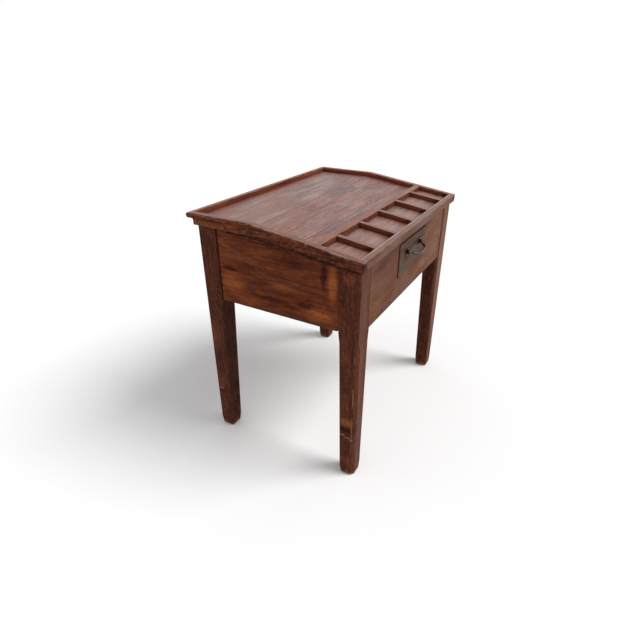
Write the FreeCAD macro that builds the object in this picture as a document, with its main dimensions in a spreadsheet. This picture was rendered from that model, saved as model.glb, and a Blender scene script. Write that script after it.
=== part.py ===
import FreeCAD, Part
import math
import os
import re
import Sketcher

# An old wooden workbench. Four tapered legs and four aprons carry a tray top with a level rear, a
# sloping front, a rim all round and six shallow compartments along the front edge. One small drawer
# with a bail handle sits in the front apron.
# Millimetres. X runs along the front, Y from front to back, Z up. The origin lies on the floor under
# the middle of the whole bench. Pieces are drawn with Y counted from the front of the legs and are
# then moved back together.

# Driving sizes
SIZES = {
    # legs
    "base_width": 620,
    "base_depth": 430,
    "leg_size": 51,
    "foot_size": 38,
    "foot_round": 6,
    "foot_ease": 6,
    "foot_run": 30,
    "foot_spare": 4,
    "shoulder_cut": 3.5,
    "shoulder_drop": 28,
    "chamfer_size": 9,
    "chamfer_end": 0.5,
    "chamfer_run": 24,
    "chamfer_stop": 12,
    # aprons and their tenons
    "apron_width": 192.5,
    "apron_thick": 20,
    "apron_recess": 3,
    "front_recess": 2,
    "apron_round": 8,
    "tenon_length": 16,
    "tenon_thick": 10,
    "tenon_shoulder": 20,
    "joint_gap": 0.1,
    # tray top
    "rear_height": 635,
    "front_drop": 39,
    "bend_depth": 269,
    "side_overhang": 13,
    "front_overhang": 9,
    "rear_overhang": 23,
    "rail_thick": 16,
    "rail_height": 25,
    "rail_round": 2.5,
    "nose_round": 8,
    "rim_height": 12,
    "seam_depth": 150,
    "board_gap": 0.5,
    "cornice_width": 89,
    "cornice_thick": 19.5,
    "cornice_overhang": 17.5,
    "cornice_foot": 13.5,
    "cornice_fillet": 6,
    "cornice_side": 2,
    "cove_reach": 12.5,
    # compartments
    "compartment_depth": 91.5,
    "bar_thick": 15,
    "divider_thick": 13,
    "end_compartment": 71.5,
    "divider_drop": 0.5,
    # drawer
    "drawer_width": 188,
    "drawer_height": 83,
    "drawer_depth": 300,
    "drawer_clear": 10,
    "drawer_gap": 2,
    "face_thick": 18,
    "face_cover": 8,
    "face_round": 1.5,
    "side_thick": 10,
    "side_drop": 12,
    "bottom_thick": 5,
    "bottom_rise": 6,
    "groove_depth": 5,
    "back_inset": 6,
    # drawer supports
    "slide_gap": 0.3,
    "guide_gap": 1,
    "runner_cover": 14,
    "runner_width": 34,
    "runner_thick": 22,
    "guide_height": 20,
    "kicker_gap": 1.5,
    "kicker_thick": 14,
    "kicker_cover": 9,
    "stop_length": 18,
    "stop_height": 16,
    # handle
    "handle_rise": 53,
    "post_span": 94,
    "pivot_out": 6.5,
    "ball_size": 13,
    "flange_size": 18,
    "flange_thick": 2,
    "neck_size": 9,
    "shank_size": 6,
    "nut_size": 11,
    "nut_thick": 5,
    "thread_end": 2.5,
    "pintle_size": 5,
    "pintle_play": 0.05,
    "pintle_end": 1,
    "bail_drop": 7.5,
    "bail_out": 18.5,
    "bail_size": 8,
    "bail_inset": 10,
}
DIVIDERS = 5
NUT_SIDES = 6
BAIL_STATIONS = 25
# How squarely the bail turns at its two corners, where 2 would be a plain oval
BAIL_SQUARE = 3.5
# How near to a face a point counts as lying on it
TOUCH = 0.01

document = FreeCAD.newDocument("workbench")
sheet = document.addObject("Spreadsheet::Sheet", "Dims")
for row, (alias, number) in enumerate(SIZES.items(), start=1):
    sheet.set(f"A{row}", alias)
    sheet.set(f"B{row}", str(number))
    sheet.setAlias(f"B{row}", alias)
document.recompute()

# Places worked out from the sizes
HANDLE_REACH = "(pivot_out + bail_out + bail_size/2)"
LEG_FRONT = f"(({HANDLE_REACH} - base_depth - rear_overhang)/2)"
HALF_BASE = "(base_width/2)"
HALF_TRAY = "(base_width/2 + side_overhang)"
HALF_FLOOR = "(base_width/2 + side_overhang - rail_thick)"
SLOPE = "(front_drop/(bend_depth + front_overhang))"
LEVEL_UNDER = "(rear_height - rail_height)"
LEVEL_FLOOR = "(rear_height - rim_height)"
RAIL_BACK = "(rail_thick - front_overhang)"
RIM_REAR = "(base_depth + rear_overhang)"
RIM_FRONT = "(base_depth + rear_overhang - rail_thick)"
CORNICE_FRONT = "(base_depth - cornice_width)"
CORNICE_UNDER = f"({LEVEL_FLOOR} - cornice_thick)"
BAR_FRONT = f"({RAIL_BACK} + compartment_depth)"
BAR_BACK = f"({BAR_FRONT} + bar_thick)"
DIVIDER_PITCH = f"((2*{HALF_FLOOR} - 2*end_compartment - divider_thick)/{DIVIDERS - 1})"
APRON_LOW = f"({LEVEL_UNDER} - apron_width)"
TENON_LOW = f"({APRON_LOW} + tenon_shoulder)"
FRONT_APRON_BACK = "(front_recess + apron_thick)"
REAR_APRON_FRONT = "(base_depth - apron_recess - apron_thick)"
FRONT_UNDER = f"({LEVEL_UNDER} - front_drop)"
DRAWER_LOW = f"({FRONT_UNDER} - drawer_clear - drawer_height)"
DRAWER_HALF = "(drawer_width/2)"
DRAWER_INSIDE = "(drawer_width/2 - side_thick)"
SIDE_HEIGHT = "(drawer_height - side_drop)"
BOTTOM_LOW = f"({DRAWER_LOW} + bottom_rise)"
RUNNER_TOP = f"({DRAWER_LOW} - slide_gap)"
RUNNER_INSIDE = "(drawer_width/2 - runner_cover)"
RUNNER_OUTSIDE = f"({RUNNER_INSIDE} + runner_width)"
HANDLE_HEIGHT = f"({DRAWER_LOW} + handle_rise)"


def rim_top(depth):
    """Height of the top of the rim over the sloping front, at a depth behind the front of the legs."""
    return f"(rear_height - {SLOPE}*(bend_depth - ({depth})))"


def floor_top(depth):
    """Height of the tray floor over the sloping front."""
    return f"({rim_top(depth)} - rim_height)"


def tray_under(depth):
    """Height of the underside of the tray boards over the sloping front."""
    return f"({rim_top(depth)} - rail_height)"


def rail_under(depth):
    """Height of the straight lower edge of a side rail, which drops from the cornice to the front."""
    fall = f"(({CORNICE_UNDER} - {FRONT_UNDER})/({CORNICE_FRONT} + front_overhang))"
    return f"({CORNICE_UNDER} - {fall}*({CORNICE_FRONT} - ({depth})))"


def cells(text):
    """The text with each size name turned into its spreadsheet cell."""
    def cell(word):
        name = word.group()
        return f"Dims.{name}" if name in SIZES else name

    return re.sub(r"[a-z_]+", cell, text)


def bind(feature, name, text):
    """Drive one property of a feature from the spreadsheet."""
    feature.setExpression(name, cells(text))


def value(text):
    """The number that a text of size names stands for."""
    return float(sheet.evalExpression(cells(text)))


def new_body(name):
    """An empty body that carries the piece's name and stands in the bench's frame."""
    body = document.addObject("PartDesign::Body", name)
    body.Label = name
    bind(body, "Placement.Base.y", LEG_FRONT)
    return body


def origin_plane(body, role):
    """One of the body's own three origin planes."""
    return next(plane for plane in body.Origin.OriginFeatures if getattr(plane, "Role", "") == role)


def outline(body, role, offset, corners):
    """A closed sketch on an origin plane. A corner is (across, up), with a third text, the place
    across of the centre, where the stretch to the next corner is an arc."""
    sketch = body.newObject("Sketcher::SketchObject", "outline")
    sketch.AttachmentSupport = [(origin_plane(body, role), "")]
    sketch.MapMode = "FlatFace"
    bind(sketch, "AttachmentOffset.Base.z", offset)
    points = [FreeCAD.Vector(value(corner[0]), value(corner[1]), 0) for corner in corners]
    ends = []
    for index, corner in enumerate(corners):
        first = points[index]
        second = points[(index + 1) % len(points)]
        if len(corner) == 2:
            sketch.addGeometry(Part.LineSegment(first, second), False)
            ends.append((1, 2))
        else:
            ends.append(add_arc(sketch, first, second, value(corner[2])))
    for index, corner in enumerate(corners):
        following = (index + 1) % len(corners)
        meeting = Sketcher.Constraint("Coincident", index, ends[index][1], following, ends[following][0])
        sketch.addConstraint(meeting)
        drive(sketch, f"across{index}", "DistanceX", index, ends[index][0], corner[0])
        drive(sketch, f"up{index}", "DistanceY", index, ends[index][0], corner[1])
        if len(corner) == 3:
            drive(sketch, f"centre{index}", "DistanceX", index, 3, corner[2])
    return sketch


def add_arc(sketch, first, second, centre_across):
    """An arc between two points about a centre that is as far from both; gives its start and end."""
    rise = second.y - first.y
    swing = (second.x - centre_across)**2 - (first.x - centre_across)**2
    centre = FreeCAD.Vector(centre_across, (second.y + first.y)/2 + swing/(2*rise), 0)
    radius = first.distanceToPoint(centre)
    arm_first = first - centre
    arm_second = second - centre
    turn = arm_first.x*arm_second.y - arm_first.y*arm_second.x
    forward = turn >= 0
    start, stop = (arm_first, arm_second) if forward else (arm_second, arm_first)
    circle = Part.Circle(centre, FreeCAD.Vector(0, 0, 1), radius)
    arc = Part.ArcOfCircle(circle, circle.parameter(centre + start), circle.parameter(centre + stop))
    sketch.addGeometry(arc, False)
    return (1, 2) if forward else (2, 1)


def drive(sketch, name, kind, index, point, text):
    """Hold one coordinate of a sketch point at a value from the spreadsheet."""
    constraint = sketch.addConstraint(Sketcher.Constraint(kind, -1, 1, index, point, value(text)))
    sketch.renameConstraint(constraint, name)
    bind(sketch, f".Constraints.{name}", text)


def slab(name, start, length, corners):
    """A body whose profile, drawn in depth and height, runs along X from start over length."""
    body = new_body(name)
    pad = body.newObject("PartDesign::Pad", "run")
    pad.Profile = outline(body, "YZ_Plane", start, corners)
    bind(pad, "Length", length)
    return body


def box(body, kind, low, size):
    """A box added to a body or taken from it, given by its lowest corner and its three sizes."""
    feature = body.newObject(f"PartDesign::{kind}Box", kind.lower())
    for name, text in zip(("Length", "Width", "Height"), size):
        bind(feature, name, text)
    for axis, text in zip("xyz", low):
        bind(feature, f"Placement.Base.{axis}", text)


def block(name, low, size):
    """A body that is one plain box."""
    body = new_body(name)
    box(body, "Additive", low, size)
    return body


def soften(body, radius, chosen):
    """Round the edges of a body that the test picks."""
    document.recompute()
    tip = body.Tip
    names = [f"Edge{number}" for number, edge in enumerate(tip.Shape.Edges, start=1) if chosen(edge)]
    fillet = body.newObject("PartDesign::Fillet", "soft_edges")
    fillet.Base = (tip, names)
    bind(fillet, "Radius", radius)


def on_rim(edge):
    """Whether an edge lies in the upper face of the rim."""
    top = value("rear_height")
    slope = value(SLOPE)
    bend = value("bend_depth")
    height = [top - slope*max(bend - vertex.Y, 0) for vertex in edge.Vertexes]
    return all(abs(vertex.Z - level) < TOUCH for vertex, level in zip(edge.Vertexes, height))


def along_x(edge):
    """Whether an edge is a straight line along the bench."""
    first, last = edge.Vertexes[0].Point, edge.Vertexes[-1].Point
    return abs(first.y - last.y) < TOUCH and abs(first.z - last.z) < TOUCH


def at_nose(edge):
    """Whether an edge is the lower front edge of the rails."""
    first = edge.Vertexes[0].Point
    depth = value("-front_overhang")
    height = value(FRONT_UNDER)
    return along_x(edge) and abs(first.y - depth) < TOUCH and abs(first.z - height) < TOUCH


def mirrored(side, inner, thick):
    """Lowest X of a strip that starts at inner from the middle and is thick, on either side."""
    return inner if side > 0 else f"(-({inner}) - ({thick}))"


# Legs
def leg(name, side, rear):
    """One leg: square above, a small shoulder below the aprons, tapered on both inner faces."""
    def depth(text):
        return f"(base_depth - ({text}))" if rear else f"({text})"

    def across(text):
        return f"({side}*({HALF_BASE} - ({text})))"

    top_outer = CORNICE_UNDER if rear else rail_under("0")
    top_inner = CORNICE_UNDER if rear else rail_under("leg_size")
    neck = f"({APRON_LOW} - shoulder_drop)"
    corners = [
        (depth("0"), "0"),
        (depth("foot_size"), "0"),
        (depth("leg_size - shoulder_cut"), neck),
        (depth("leg_size"), APRON_LOW),
        (depth("leg_size"), top_inner),
        (depth("0"), top_outer),
    ]
    body = slab(name, mirrored(side, f"({HALF_BASE} - leg_size)", "leg_size"), "leg_size", corners)
    taper = body.newObject("PartDesign::Pocket", "taper")
    taper.Profile = outline(body, "XZ_Plane", "0", [
        (across("leg_size"), "0"),
        (across("leg_size"), APRON_LOW),
        (across("leg_size - shoulder_cut"), neck),
        (across("foot_size"), "0"),
    ])
    taper.Type = "ThroughAll"
    taper.Midplane = True
    if name in CHAMFERED:
        chamfer_corner(body, side)
    soften(body, "foot_round", lambda edge: all(abs(vertex.Z) < TOUCH for vertex in edge.Vertexes))
    ease_foot(body, across, depth, name in CHAMFERED)
    mortises(body, side, rear)


def chamfer_corner(body, side):
    """Take the outer corner off a front leg below the apron, running out at the stop."""
    stop = f"({APRON_LOW} - chamfer_stop)"
    sections = [("0", "chamfer_size"), (f"({stop} - chamfer_run)", "chamfer_size"), (stop, "chamfer_end")]
    outer = f"({side}*{HALF_BASE})"
    sketches = []
    for height, size in sections:
        inner = f"({side}*({HALF_BASE} - {size}))"
        sketches.append(outline(body, "XY_Plane", height, [(outer, "0"), (inner, "0"), (outer, size)]))
    loft = body.newObject("PartDesign::SubtractiveLoft", "chamfer")
    loft.Profile = sketches[0]
    loft.Sections = sketches[1:]
    loft.Ruled = True


def ease_foot(body, across, depth, chamfered):
    """Take the corners off a foot, running out a little above the floor. A chamfered outer corner is
    left as it is."""
    corners = [(inner_x, inner_y) for inner_x in (False, True) for inner_y in (False, True)]
    for inner_x, inner_y in corners:
        if chamfered and not inner_x and not inner_y:
            continue
        sketches = []
        for height, size in (("0", "foot_ease"), ("foot_run", "-foot_spare/2")):
            out_x, in_x = corner_reach(inner_x, size)
            out_y, in_y = corner_reach(inner_y, size)
            sketches.append(outline(body, "XY_Plane", height, [
                (across(out_x), depth(out_y)),
                (across(in_x), depth(out_y)),
                (across(out_x), depth(in_y)),
            ]))
        loft = body.newObject("PartDesign::SubtractiveLoft", "foot_corner")
        loft.Profile = sketches[0]
        loft.Sections = sketches[1:]
        loft.Ruled = True


def corner_reach(inner, size):
    """From a leg's outer face: a place just clear of a face of the foot, and one inside it by size."""
    if inner:
        return "(foot_size + foot_spare)", f"(foot_size - ({size}) - foot_spare)"
    return "(-foot_spare)", f"(({size}) + foot_spare)"


def tenon_span(rear):
    """Height of a tenon at a front or a rear leg."""
    top = CORNICE_UNDER if rear else rail_under("0")
    return f"({top} - tenon_shoulder - {TENON_LOW})"


def mortises(body, side, rear):
    """The two mortises of a leg, larger than the tenons by the joint gap."""
    height = f"({tenon_span(rear)} + 2*joint_gap)"
    low = f"({TENON_LOW} - joint_gap)"
    wide = "(tenon_thick + 2*joint_gap)"
    deep = "(tenon_length + joint_gap)"
    tongue = "(apron_recess + apron_thick/2 + tenon_thick/2)"
    side_left = mirrored(side, f"({HALF_BASE} - {tongue} - joint_gap)", wide)
    side_front = "(base_depth - leg_size)" if rear else f"(leg_size - {deep})"
    box(body, "Subtractive", (side_left, side_front, low), (wide, deep, height))
    cross_left = mirrored(side, f"({HALF_BASE} - leg_size)", deep)
    cross_front = f"(base_depth - {tongue} - joint_gap)" if rear else f"({front_tenon_depth()} - joint_gap)"
    box(body, "Subtractive", (cross_left, cross_front, low), (deep, wide, height))


def front_tenon_depth():
    """Depth at which the tenons of the front apron begin."""
    return "(front_recess + apron_thick/2 - tenon_thick/2)"


CHAMFERED = ("leg_front_left",)
leg("leg_front_left", -1, False)
leg("leg_front_right", 1, False)
leg("leg_rear_left", -1, True)
leg("leg_rear_right", 1, True)


# Aprons
def side_apron(name, side):
    """A side apron whose upper edge follows the tray, with both lower corners rounded."""
    inner = f"({HALF_BASE} - apron_recess - apron_thick)"
    body = slab(name, mirrored(side, inner, "apron_thick"), "apron_thick", [
        ("leg_size", APRON_LOW),
        ("base_depth - leg_size", APRON_LOW),
        ("base_depth - leg_size", CORNICE_UNDER),
        (f"({CORNICE_FRONT} - board_gap)", CORNICE_UNDER),
        (f"({CORNICE_FRONT} - board_gap)", LEVEL_UNDER),
        ("bend_depth", LEVEL_UNDER),
        ("leg_size", tray_under("leg_size")),
    ])
    low = value(APRON_LOW)
    soften(body, "apron_round", lambda edge: along_x(edge) and abs(edge.Vertexes[0].Z - low) < TOUCH)
    left = mirrored(side, f"({inner} + apron_thick/2 - tenon_thick/2)", "tenon_thick")
    for rear, front in ((False, "(leg_size - tenon_length)"), (True, "(base_depth - leg_size)")):
        box(body, "Additive", (left, front, TENON_LOW), ("tenon_thick", "tenon_length", tenon_span(rear)))


def cross_tenons(body, front, rear):
    """A tenon at each end of an apron that runs along X."""
    for left in (f"(-{HALF_BASE} + leg_size - tenon_length)", f"({HALF_BASE} - leg_size)"):
        box(body, "Additive", (left, front, TENON_LOW), ("tenon_length", "tenon_thick", tenon_span(rear)))


def rear_apron():
    """The apron between the rear legs."""
    body = block("rear_apron",
                 (f"(-{HALF_BASE} + leg_size)", REAR_APRON_FRONT, APRON_LOW),
                 ("base_width - 2*leg_size", "apron_thick", f"({CORNICE_UNDER} - {APRON_LOW})"))
    cross_tenons(body, f"({REAR_APRON_FRONT} + apron_thick/2 - tenon_thick/2)", True)


def front_apron():
    """The apron between the front legs, with an opening for the drawer."""
    body = slab("front_apron", f"(-{HALF_BASE} + leg_size)", "base_width - 2*leg_size", [
        ("front_recess", APRON_LOW),
        (FRONT_APRON_BACK, APRON_LOW),
        (FRONT_APRON_BACK, tray_under(FRONT_APRON_BACK)),
        ("front_recess", tray_under("front_recess")),
    ])
    cross_tenons(body, front_tenon_depth(), False)
    box(body, "Subtractive",
        (f"(-{DRAWER_HALF} - drawer_gap)", "front_recess", f"({DRAWER_LOW} - drawer_gap)"),
        ("drawer_width + 2*drawer_gap", "apron_thick", "drawer_height + 2*drawer_gap"))


side_apron("side_apron_left", -1)
side_apron("side_apron_right", 1)
rear_apron()
front_apron()


# Tray top
def floor_board(name, front, back):
    """A sloping board of the tray floor between two depths."""
    slab(name, f"(-{HALF_FLOOR})", f"(2*{HALF_FLOOR})", [
        (front, tray_under(front)),
        (back, tray_under(back)),
        (back, floor_top(back)),
        (front, floor_top(front)),
    ])


def rear_cornice():
    """The rearmost board of the tray; its ends show under the side rails, its rear edge has a cove."""
    half = f"({HALF_BASE} + cornice_side)"
    foot = "(base_depth + cornice_foot)"
    edge = "(base_depth + cornice_overhang)"
    slab("rear_cornice", f"(-{half})", f"(2*{half})", [
        (CORNICE_FRONT, CORNICE_UNDER),
        (foot, CORNICE_UNDER),
        (foot, f"({CORNICE_UNDER} + cornice_fillet)", f"({edge} + cove_reach)"),
        (edge, LEVEL_FLOOR),
        (CORNICE_FRONT, LEVEL_FLOOR),
    ])


def side_rail(name, side):
    """A side rail, bent on top where the slope begins, notched over the end of the cornice, with its
    lower front corner rounded."""
    notch = f"({CORNICE_FRONT} - board_gap)"
    body = slab(name, mirrored(side, HALF_FLOOR, "rail_thick"), "rail_thick", [
        ("-front_overhang", FRONT_UNDER),
        (notch, rail_under(notch)),
        (notch, LEVEL_FLOOR),
        (RIM_FRONT, LEVEL_FLOOR),
        (RIM_FRONT, "rear_height"),
        ("bend_depth", "rear_height"),
        ("-front_overhang", rim_top("-front_overhang")),
    ])
    soften(body, "rail_round", lambda edge: on_rim(edge) and edge.Vertexes[0].X == edge.Vertexes[-1].X)
    soften(body, "nose_round", at_nose)


def front_rail():
    """The front rail between the side rails, rounded along its lower front edge."""
    body = slab("front_rail", f"(-{HALF_FLOOR})", f"(2*{HALF_FLOOR})", [
        ("-front_overhang", FRONT_UNDER),
        (RAIL_BACK, tray_under(RAIL_BACK)),
        (RAIL_BACK, rim_top(RAIL_BACK)),
        ("-front_overhang", rim_top("-front_overhang")),
    ])
    soften(body, "rail_round", lambda edge: on_rim(edge) and edge.Length > value("rail_thick")*2)
    soften(body, "nose_round", at_nose)


def rear_rim():
    """The rear rim, a strip with a half-round nosing that runs past both side rails."""
    nose = f"({RIM_REAR} - rim_height/2)"
    slab("rear_rim", f"(-{HALF_TRAY})", f"(2*{HALF_TRAY})", [
        (RIM_FRONT, LEVEL_FLOOR),
        (nose, LEVEL_FLOOR, nose),
        (nose, "rear_height"),
        (RIM_FRONT, "rear_height"),
    ])


def wall_corners(front, back, drop):
    """Profile of a low wall that stands on the sloping floor between two depths."""
    return [
        (front, floor_top(front)),
        (back, floor_top(back)),
        (back, f"({rim_top(back)} - {drop})"),
        (front, f"({rim_top(front)} - {drop})"),
    ]


def compartment_bar():
    """The bar behind the compartments."""
    slab("compartment_bar", f"(-{HALF_FLOOR} + board_gap)", f"(2*{HALF_FLOOR} - 2*board_gap)",
         wall_corners(BAR_FRONT, BAR_BACK, "0"))


def divider(number):
    """One divider between two compartments."""
    body = slab(f"divider_{number + 1}", "-divider_thick/2", "divider_thick",
                wall_corners(RAIL_BACK, BAR_FRONT, "divider_drop"))
    bind(body, "Placement.Base.x", f"{number - (DIVIDERS - 1)/2}*{DIVIDER_PITCH}")


floor_board("tray_board_lower", RAIL_BACK, "(seam_depth - board_gap)")
floor_board("tray_board_upper", "seam_depth", "(bend_depth - board_gap)")
block("tray_board_level",
      (f"(-{HALF_FLOOR})", "bend_depth", LEVEL_UNDER),
      (f"(2*{HALF_FLOOR})", f"({CORNICE_FRONT} - board_gap - bend_depth)", "rail_height - rim_height"))
rear_cornice()
side_rail("side_rail_left", -1)
side_rail("side_rail_right", 1)
front_rail()
rear_rim()
compartment_bar()
for number in range(DIVIDERS):
    divider(number)


# Drawer
def cut_hole(body, size, across, front, height, length):
    """A round hole along Y through part of a body."""
    hole = body.newObject("PartDesign::SubtractiveCylinder", "hole")
    hole.Placement.Rotation = FreeCAD.Rotation(FreeCAD.Vector(1, 0, 0), -90)
    bind(hole, "Radius", f"{size}/2")
    bind(hole, "Height", length)
    for axis, text in zip("xyz", (across, front, height)):
        bind(hole, f"Placement.Base.{axis}", text)


def drawer_front():
    """The drawer front, rebated for the sides, grooved for the bottom, bored for the handle."""
    body = block("drawer_front",
                 (f"(-{DRAWER_HALF})", "0", DRAWER_LOW), ("drawer_width", "face_thick", "drawer_height"))
    soften(body, "face_round", lambda edge: all(abs(vertex.Y) < TOUCH for vertex in edge.Vertexes))
    rebate = ("side_thick", "face_thick - face_cover", SIDE_HEIGHT)
    for left in (f"(-{DRAWER_HALF})", DRAWER_INSIDE):
        box(body, "Subtractive", (left, "face_cover", DRAWER_LOW), rebate)
    box(body, "Subtractive",
        (f"(-{DRAWER_INSIDE})", "face_thick - groove_depth", BOTTOM_LOW),
        (f"(2*{DRAWER_INSIDE})", "groove_depth", "bottom_thick + 2*joint_gap"))
    for side in (-1, 1):
        cut_hole(body, "(shank_size + 2*joint_gap)", f"{side}*post_span/2", "0", HANDLE_HEIGHT, "face_thick")


def drawer_side(name, side):
    """A drawer side with the groove that holds the bottom."""
    left = mirrored(side, DRAWER_INSIDE, "side_thick")
    length = "drawer_depth - face_cover"
    body = block(name, (left, "face_cover", DRAWER_LOW), ("side_thick", length, SIDE_HEIGHT))
    groove = mirrored(side, DRAWER_INSIDE, "groove_depth")
    box(body, "Subtractive", (groove, "face_cover", BOTTOM_LOW),
        ("groove_depth", length, "bottom_thick + 2*joint_gap"))


def drawer_back():
    """The drawer back, standing on the bottom between the sides."""
    low = f"({BOTTOM_LOW} + bottom_thick + 2*joint_gap)"
    block("drawer_back",
          (f"(-{DRAWER_INSIDE})", "drawer_depth - back_inset - side_thick", low),
          (f"(2*{DRAWER_INSIDE})", "side_thick", f"({DRAWER_LOW} + {SIDE_HEIGHT} - {low})"))


def drawer_bottom():
    """The drawer bottom, held in the grooves of the sides and the front."""
    half = f"({DRAWER_INSIDE} + groove_depth - joint_gap)"
    front = "(face_thick - groove_depth + joint_gap)"
    block("drawer_bottom",
          (f"(-{half})", front, f"({BOTTOM_LOW} + joint_gap)"),
          (f"(2*{half})", f"(drawer_depth - {front})", "bottom_thick"))


drawer_front()
drawer_side("drawer_side_left", -1)
drawer_side("drawer_side_right", 1)
drawer_back()
drawer_bottom()


# Drawer supports
def supports(word, side):
    """Runner, guide, kicker and stop on one side of the drawer."""
    length = f"({REAR_APRON_FRONT} - {FRONT_APRON_BACK})"
    block(f"drawer_runner_{word}",
          (mirrored(side, RUNNER_INSIDE, "runner_width"), FRONT_APRON_BACK, f"({RUNNER_TOP} - runner_thick)"),
          ("runner_width", length, "runner_thick"))
    guide_inside = f"({DRAWER_HALF} + guide_gap)"
    guide_width = f"({RUNNER_OUTSIDE} - {guide_inside})"
    block(f"drawer_guide_{word}",
          (mirrored(side, guide_inside, guide_width), FRONT_APRON_BACK, RUNNER_TOP),
          (guide_width, length, "guide_height"))
    kicker_inside = f"({DRAWER_HALF} - kicker_cover)"
    kicker_width = f"({RUNNER_OUTSIDE} - {kicker_inside})"
    kicker_low = f"({DRAWER_LOW} + {SIDE_HEIGHT} + kicker_gap)"
    block(f"drawer_kicker_{word}",
          (mirrored(side, kicker_inside, kicker_width), FRONT_APRON_BACK, kicker_low),
          (kicker_width, length, "kicker_thick"))
    stop_width = f"({guide_inside} - {RUNNER_INSIDE})"
    block(f"drawer_stop_{word}",
          (mirrored(side, RUNNER_INSIDE, stop_width), "drawer_depth + slide_gap", RUNNER_TOP),
          (stop_width, "stop_length", "stop_height"))


supports("left", -1)
supports("right", 1)


# Handle
def turned(kind, radius, length, across, depth, turn):
    """A cylinder or ball of the handle, placed from the spreadsheet."""
    piece = document.addObject(f"Part::{kind}", kind.lower())
    piece.Placement.Rotation = turn
    bind(piece, "Radius", radius)
    if kind == "Cylinder":
        bind(piece, "Height", length)
    bind(piece, "Placement.Base.x", across)
    bind(piece, "Placement.Base.y", f"({LEG_FRONT} + ({depth}))")
    bind(piece, "Placement.Base.z", HANDLE_HEIGHT)
    return piece


FORWARD = FreeCAD.Rotation(FreeCAD.Vector(1, 0, 0), 90)
BACKWARD = FreeCAD.Rotation(FreeCAD.Vector(1, 0, 0), -90)
SIDEWAYS = FreeCAD.Rotation(FreeCAD.Vector(0, 1, 0), 90)


def handle_post(name, side):
    """A post with a flange on the drawer front, a bored ball head and a shank through to the inside."""
    across = f"{side}*post_span/2"
    solid = document.addObject("Part::MultiFuse", f"{name}_solid")
    solid.Shapes = [
        turned("Cylinder", "flange_size/2", "flange_thick", across, "0", FORWARD),
        turned("Cylinder", "neck_size/2", "pivot_out", across, "0", FORWARD),
        turned("Sphere", "ball_size/2", None, across, "-pivot_out", FORWARD),
        turned("Cylinder", "shank_size/2", "face_thick + nut_thick + thread_end", across, "0", BACKWARD),
    ]
    bore_left = f"({across} - flange_size/2)"
    bore_radius = "pintle_size/2 + pintle_play"
    post = document.addObject("Part::Cut", name)
    post.Label = name
    post.Base = solid
    post.Tool = turned("Cylinder", bore_radius, "flange_size", bore_left, "-pivot_out", SIDEWAYS)


def handle_nuts():
    """The two six-sided nuts that hold the posts from inside the drawer."""
    nuts = []
    for side in (-1, 1):
        across = f"{side}*post_span/2"
        prism = document.addObject("Part::Prism", "nut_blank")
        prism.Polygon = NUT_SIDES
        prism.Placement.Rotation = BACKWARD
        bind(prism, "Circumradius", f"nut_size/2/cos(180/{NUT_SIDES})")
        bind(prism, "Height", "nut_thick")
        bind(prism, "Placement.Base.x", across)
        bind(prism, "Placement.Base.y", f"({LEG_FRONT} + face_thick)")
        bind(prism, "Placement.Base.z", HANDLE_HEIGHT)
        nut = document.addObject("Part::Cut", "nut")
        nut.Base = prism
        nut.Tool = turned("Cylinder", "shank_size/2", "nut_thick", across, "face_thick", BACKWARD)
        nuts.append(nut)
    pair = document.addObject("Part::Compound", "handle_nuts")
    pair.Label = "handle_nuts"
    pair.Links = nuts


def bail_course(turn, reach, sides, offset):
    """Point and direction of the middle line of the bail, a squared half oval from post to post, where
    turn runs from 0 to pi."""
    across = -math.cos(turn)
    out = math.sin(turn)
    swell = (abs(across)**BAIL_SQUARE + out**BAIL_SQUARE)**(1/BAIL_SQUARE)
    point = sides*(reach*across/swell) + offset*(out/swell)
    along = sides*(reach*out**(BAIL_SQUARE - 1)) - offset*(across*abs(across)**(BAIL_SQUARE - 2))
    return point, along


def handle_bail():
    """The bail: a bar, thicker in its middle, with a pintle at each end that turns in a post."""
    reach = value("post_span/2 - bail_inset")
    tip = value("post_span/2 + ball_size/2 + pintle_end")
    thin = value("pintle_size/2")
    thick = value("bail_size/2")
    sides = FreeCAD.Vector(1, 0, 0)
    offset = FreeCAD.Vector(0, -value("bail_out"), -value("bail_drop"))
    normal = sides.cross(offset)
    rings = []
    for station in range(BAIL_STATIONS):
        turn = math.pi*station/(BAIL_STATIONS - 1)
        point, along = bail_course(turn, reach, sides, offset)
        ring = Part.Wire(Part.makeCircle(thin + (thick - thin)*math.sin(turn)))
        facing = FreeCAD.Rotation(normal, along.cross(normal), along, "ZXY")
        ring.Placement = FreeCAD.Placement(point, facing)
        rings.append(ring)
    bar = Part.makeLoft(rings, True)
    ends = []
    for side in (-1, 1):
        corner = sides*(side*reach)
        ends.append(Part.makeSphere(thin, corner))
        ends.append(Part.makeCylinder(thin, tip - reach, corner, sides*side))
    bail = document.addObject("Part::Feature", "handle_bail")
    bail.Label = "handle_bail"
    bail.Shape = bar.fuse(ends).removeSplitter()
    bail.Placement.Base = FreeCAD.Vector(0, value(f"{LEG_FRONT} - pivot_out"), value(HANDLE_HEIGHT))


handle_post("handle_post_left", -1)
handle_post("handle_post_right", 1)
handle_nuts()
handle_bail()

# Check every object, then write each finished piece to its own file
document.recompute()
for item in document.Objects:
    if "Invalid" in item.State or "Error" in item.State:
        raise RuntimeError(f"{item.Label} did not build: {item.State}")

HANDLE = ("handle_post_left", "handle_post_right", "handle_nuts", "handle_bail")
pieces = [item for item in document.Objects if item.TypeId == "PartDesign::Body"]
pieces += [document.getObject(name) for name in HANDLE]
os.makedirs("parts", exist_ok=True)
for piece in pieces:
    shape = piece.Shape
    if shape.isNull() or not shape.isValid():
        raise RuntimeError(f"{piece.Label} has no valid shape")
    shape.exportStep(f"parts/{piece.Label}.step")
    print(piece.Label, len(shape.Solids), round(shape.Volume), shape.BoundBox)
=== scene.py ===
import math
from types import SimpleNamespace

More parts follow.
